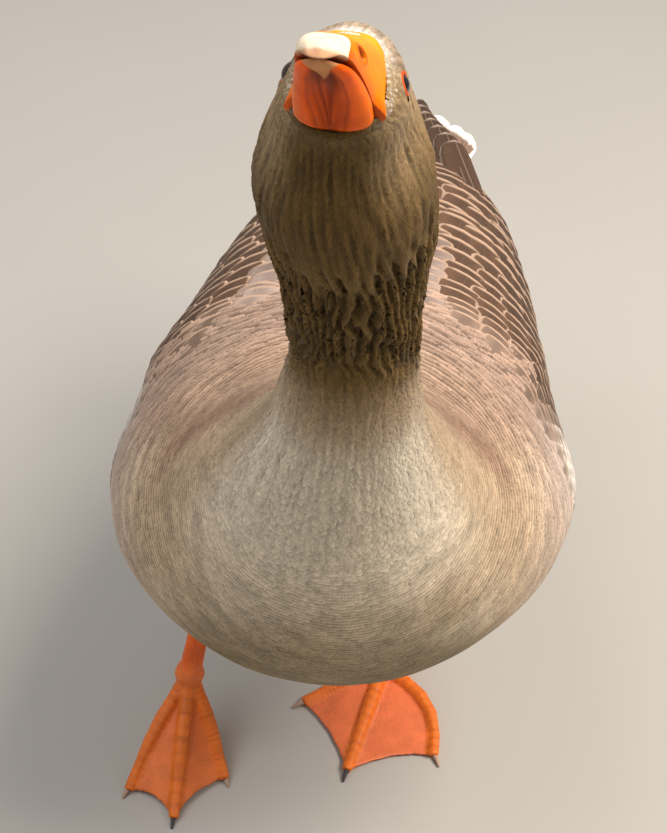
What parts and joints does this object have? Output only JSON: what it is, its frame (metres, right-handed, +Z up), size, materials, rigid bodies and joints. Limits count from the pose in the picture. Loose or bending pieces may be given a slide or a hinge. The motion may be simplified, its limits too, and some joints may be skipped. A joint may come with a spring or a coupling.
{
  "type": "domestic goose",
  "caption": "Life-size grey domestic goose, stepping forward with its neck stretched up and its orange bill raised.",
  "frame": {"origin": "on the floor, under the middle of the goose's overall box", "axes": "+Z up, the goose faces -Y, its left side is at +X"},
  "size_m": [0.2888, 0.6518, 0.6983],
  "materials": {
    "plumage": "matte contour feathers",
    "wing_feathers": "matte vaned feathers with pale fringes",
    "tail_feathers": "matte vaned feathers with white tips",
    "bill": "satin horn sheath",
    "bill_nail": "satin horn",
    "eye": "wet gloss",
    "leg_skin": "scaled skin, satin",
    "claw": "worn horn"
  },
  "bodies": {
    "root": {"trunk": "plumage", "neck_lower": "plumage", "neck_middle": "plumage", "neck_upper": "plumage", "head": "plumage", "thigh_left": "plumage", "thigh_right": "plumage", "wing_left": "wing_feathers", "wing_right": "wing_feathers", "tail": "tail_feathers", "bill_upper": "bill", "bill_lower": "bill", "bill_nail": "bill_nail", "eye_left": "eye", "eye_right": "eye", "shank_left": "leg_skin", "shank_right": "leg_skin", "foot_left": "leg_skin", "foot_right": "leg_skin", "claw_left_inner": "claw", "claw_left_middle": "claw", "claw_left_outer": "claw", "claw_right_inner": "claw", "claw_right_middle": "claw", "claw_right_outer": "claw"}
  },
  "joints": []
}
